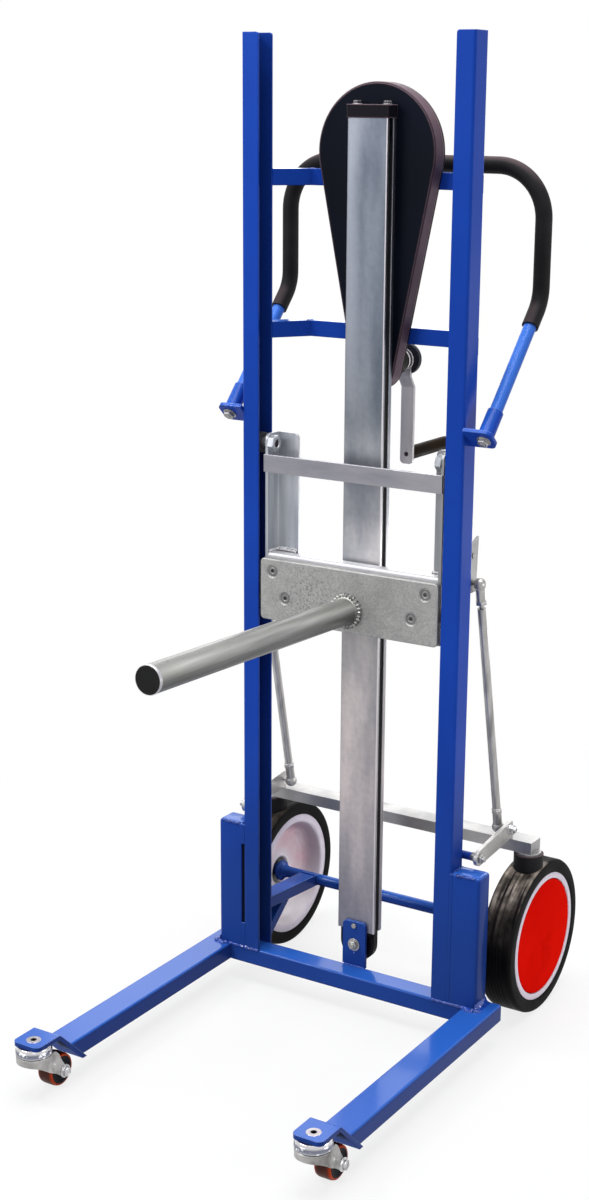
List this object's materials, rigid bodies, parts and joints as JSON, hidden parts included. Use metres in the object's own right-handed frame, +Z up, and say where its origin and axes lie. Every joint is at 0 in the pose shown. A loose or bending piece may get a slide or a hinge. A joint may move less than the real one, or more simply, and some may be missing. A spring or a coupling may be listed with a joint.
{
  "type": "material lift",
  "caption": "Hand-cranked wheeled lift with channel masts, a belt-driven carriage, a round lifting boom, swivel casters, rear wheels with a parking brake and a push handle.",
  "frame": {"origin": "on the floor, below the middle of the lift's outline", "axes": "+X across the lift to the user's left when pushing, +Y from the boom tip to the rear wheels, +Z up"},
  "size_m": [0.5534, 0.8414, 1.558],
  "materials": {
    "blue_paint": "gloss powder coat",
    "zinc": "bright zinc plate",
    "galvanised": "mottled galvanised",
    "aluminium": "drawn, satin",
    "black_plastic": "satin",
    "black_rubber": "matt",
    "tyre": "matt",
    "rim_plastic": "satin",
    "red_plastic": "gloss",
    "orange_rubber": "satin",
    "dark_steel": "oiled",
    "roller_plastic": "satin"
  },
  "bodies": {
    "frame": {"left_mast": "blue_paint", "right_mast": "blue_paint", "base_crossbar": "blue_paint", "left_leg": "blue_paint", "right_leg": "blue_paint", "mast_stiffeners": "blue_paint", "caster_plates": "blue_paint", "caster_heads": "zinc", "rear_axle": "blue_paint", "axle_arms": "blue_paint", "cross_tubes": "blue_paint", "lift_column": "aluminium", "column_cap": "black_plastic", "column_foot_bracket": "blue_paint", "column_bolts": "zinc", "lifting_belt": "black_rubber", "drive_chain": "dark_steel", "drive_cover": "black_plastic", "drive_mounting_plate": "dark_steel", "push_handle": "blue_paint", "handle_grip": "black_rubber", "handle_brackets": "blue_paint", "handle_bolts": "zinc", "brake_pivot_pins": "blue_paint", "brake_pivot_nuts": "zinc", "spring_brackets": "zinc"},
    "carriage": {"carriage_angles": "zinc", "carriage_upper_bar": "zinc", "carriage_cross_member": "zinc", "boom_plate": "galvanised", "boom_plate_screws": "zinc", "boom_tube": "galvanised", "boom_end_plug": "black_plastic", "roller_axles": "zinc", "belt_clamp": "zinc"},
    "upper_roller_pair": {"upper_rollers": "roller_plastic"},
    "lower_roller_pair": {"lower_rollers": "roller_plastic"},
    "top_drive": {"top_pulley": "black_plastic", "large_sprocket": "dark_steel"},
    "crank": {"crank_shaft": "dark_steel", "brake_discs": "zinc", "crank_hub": "black_plastic", "crank_arm": "zinc"},
    "grip": {"crank_grip": "black_plastic"},
    "idler": {"idler_pulley": "black_plastic"},
    "left_wheel": {"left_tyre": "tyre", "left_rim": "rim_plastic", "left_wheel_cap": "red_plastic"},
    "right_wheel": {"right_tyre": "tyre", "right_rim": "rim_plastic", "right_wheel_cap": "red_plastic"},
    "left_caster": {"left_caster_fork": "zinc"},
    "right_caster": {"right_caster_fork": "zinc"},
    "left_caster_roller": {"left_caster_wheel": "orange_rubber"},
    "right_caster_roller": {"right_caster_wheel": "orange_rubber"},
    "brake": {"brake_bar": "zinc", "brake_pads": "black_rubber", "brake_arms": "zinc"},
    "spring_rod_pair": {"spring_rods": "zinc"},
    "spring_tube_pair": {"spring_cylinders": "zinc"}
  },
  "joints": [
    {"name": "carriage_lift", "type": "slide", "parent": "frame", "child": "carriage", "axis": [0, 0, 1], "range_m": [-0.53, 0.58]},
    {"name": "upper_rollers_turn", "type": "hinge", "parent": "carriage", "child": "upper_roller_pair", "pos_m": [0, 0.118, 0.939], "axis": [1, 0, 0], "range_deg": [-1846, 2020]},
    {"name": "lower_rollers_turn", "type": "hinge", "parent": "carriage", "child": "lower_roller_pair", "pos_m": [0, 0.118, 0.7], "axis": [1, 0, 0], "range_deg": [-2020, 1846]},
    {"name": "top_pulley_turn", "type": "hinge", "parent": "frame", "child": "top_drive", "pos_m": [0, 0.178, 1.387], "axis": [0, 1, 0], "range_deg": [-1095, 1001]},
    {"name": "idler_turn", "type": "hinge", "parent": "frame", "child": "idler", "pos_m": [0, 0.1515, 0.107], "axis": [0, 1, 0], "range_deg": [-1095, 1001]},
    {"name": "crank_turn", "type": "hinge", "parent": "frame", "child": "crank", "pos_m": [0, 0.248, 1.068], "axis": [0, 1, 0], "range_deg": [-4736, 4328]},
    {"name": "grip_spin", "type": "hinge", "parent": "crank", "child": "grip", "pos_m": [0, 0.338, 0.914], "axis": [0, 1, 0], "continuous": true},
    {"name": "left_wheel_roll", "type": "hinge", "parent": "frame", "child": "left_wheel", "pos_m": [-0.253, 0.2906, 0.13], "axis": [1, 0, 0], "continuous": true},
    {"name": "right_wheel_roll", "type": "hinge", "parent": "frame", "child": "right_wheel", "pos_m": [0.253, 0.2906, 0.13], "axis": [1, 0, 0], "continuous": true},
    {"name": "left_caster_swivel", "type": "hinge", "parent": "frame", "child": "left_caster", "pos_m": [-0.249, -0.39, 0.07], "axis": [0, 0, 1], "continuous": true},
    {"name": "right_caster_swivel", "type": "hinge", "parent": "frame", "child": "right_caster", "pos_m": [0.249, -0.39, 0.07], "axis": [0, 0, 1], "continuous": true},
    {"name": "left_caster_roll", "type": "hinge", "parent": "left_caster", "child": "left_caster_roller", "pos_m": [-0.249, -0.343, 0.026], "axis": [1, 0, 0], "continuous": true},
    {"name": "right_caster_roll", "type": "hinge", "parent": "right_caster", "child": "right_caster_roller", "pos_m": [0.249, -0.343, 0.026], "axis": [1, 0, 0], "continuous": true},
    {"name": "brake_lift", "type": "hinge", "parent": "frame", "child": "brake", "pos_m": [0, 0.14475, 0.308], "axis": [1, 0, 0], "range_deg": [0, 3]},
    {"name": "spring_tilt", "type": "hinge", "parent": "frame", "child": "spring_rod_pair", "pos_m": [0, 0.158, 0.75], "axis": [1, 0, 0], "range_deg": [-0.05, 0.114]},
    {"name": "spring_stroke", "type": "slide", "parent": "spring_rod_pair", "child": "spring_tube_pair", "axis": [0, -0.2145, 0.9767], "range_m": [-0.0002, 0.00594]}
  ],
  "couplings": [
    {"joint": "upper_rollers_turn", "follows": "carriage_lift", "rad_per_m": 60.606},
    {"joint": "lower_rollers_turn", "follows": "carriage_lift", "rad_per_m": -60.606},
    {"joint": "top_pulley_turn", "follows": "carriage_lift", "rad_per_m": -32.787},
    {"joint": "idler_turn", "follows": "carriage_lift", "rad_per_m": -32.787},
    {"joint": "crank_turn", "follows": "carriage_lift", "rad_per_m": -142.35},
    {"joint": "spring_tilt", "follows": "brake_lift", "ratio": 0.021297},
    {"joint": "spring_stroke", "follows": "brake_lift", "m_per_rad": 0.10776}
  ]
}
